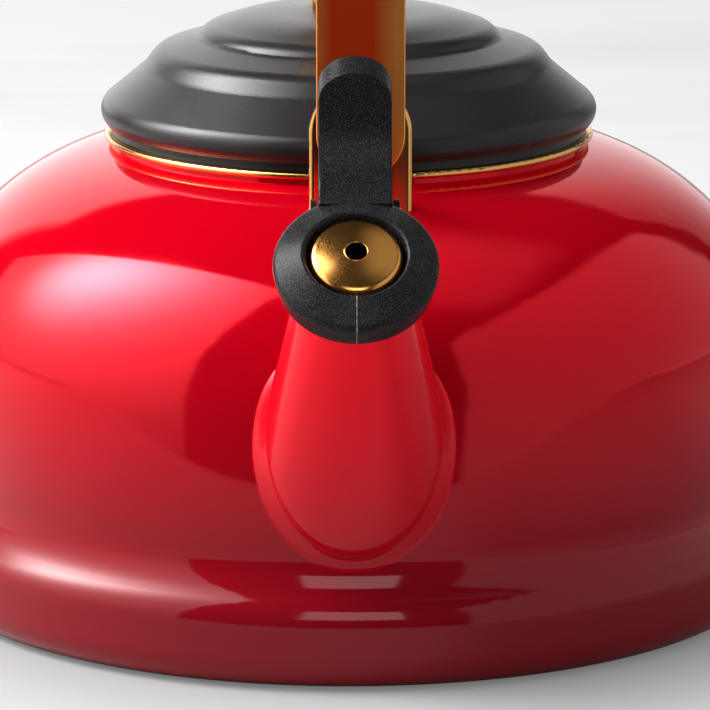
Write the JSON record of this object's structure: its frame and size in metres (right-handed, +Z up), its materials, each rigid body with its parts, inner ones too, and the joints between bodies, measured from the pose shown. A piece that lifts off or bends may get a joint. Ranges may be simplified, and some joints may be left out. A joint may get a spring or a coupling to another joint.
{
  "type": "stovetop whistling kettle",
  "caption": "Low-domed red enamel stovetop kettle with a folding brass-strap bail handle, a stepped lift-off lid and a short spout closed by a sprung flip-up whistle.",
  "frame": {"origin": "centre of the ring that the kettle stands on, at table level", "axes": "+Z up along the body's axis, the spout towards -Y, the handle's pivots along Y"},
  "size_m": [0.22, 0.2648, 0.23],
  "materials": {
    "enamel_red": "gloss vitreous enamel",
    "lid_black": "satin enamel",
    "brass": "polished",
    "nylon_black": "fine speckled grain",
    "grip_black": "satin phenolic",
    "steel": "brushed",
    "silicone": "matt"
  },
  "bodies": {
    "kettle": {"body_shell": "enamel_red", "base_plate": "steel", "neck_trim": "brass", "spout": "enamel_red", "spout_collar": "nylon_black", "hinge_pin": "steel", "front_bracket": "brass", "rear_bracket": "brass", "front_pivot_rivet": "brass", "rear_pivot_rivet": "brass", "front_pivot_washer": "nylon_black", "rear_pivot_washer": "nylon_black"},
    "handle": {"front_strap": "brass", "rear_strap": "brass", "grip": "grip_black", "grip_screws": "steel"},
    "lid": {"lid_shell": "lid_black", "lid_collar": "lid_black", "knob": "brass", "knob_screw": "steel", "knob_washer": "steel"},
    "whistle": {"whistle_lever": "nylon_black", "whistle_disc": "brass", "whistle_cup": "brass", "whistle_seal": "silicone", "hinge_spring": "steel"}
  },
  "joints": [
    {"name": "handle_swing", "type": "hinge", "parent": "kettle", "child": "handle", "pos_m": [0.002, 0, 0.13], "axis": [0, 1, 0], "range_deg": [-95, 95]},
    {"name": "lid_lift", "type": "slide", "parent": "kettle", "child": "lid", "axis": [0, 0, 1], "range_m": [0, 0.03]},
    {"name": "whistle_flip", "type": "hinge", "parent": "kettle", "child": "whistle", "pos_m": [0, -0.12, 0.12004], "axis": [-1, 0, 0], "range_deg": [0, 55], "stiffness_Nm_per_rad": 0.05, "springref_deg": -22.92}
  ]
}
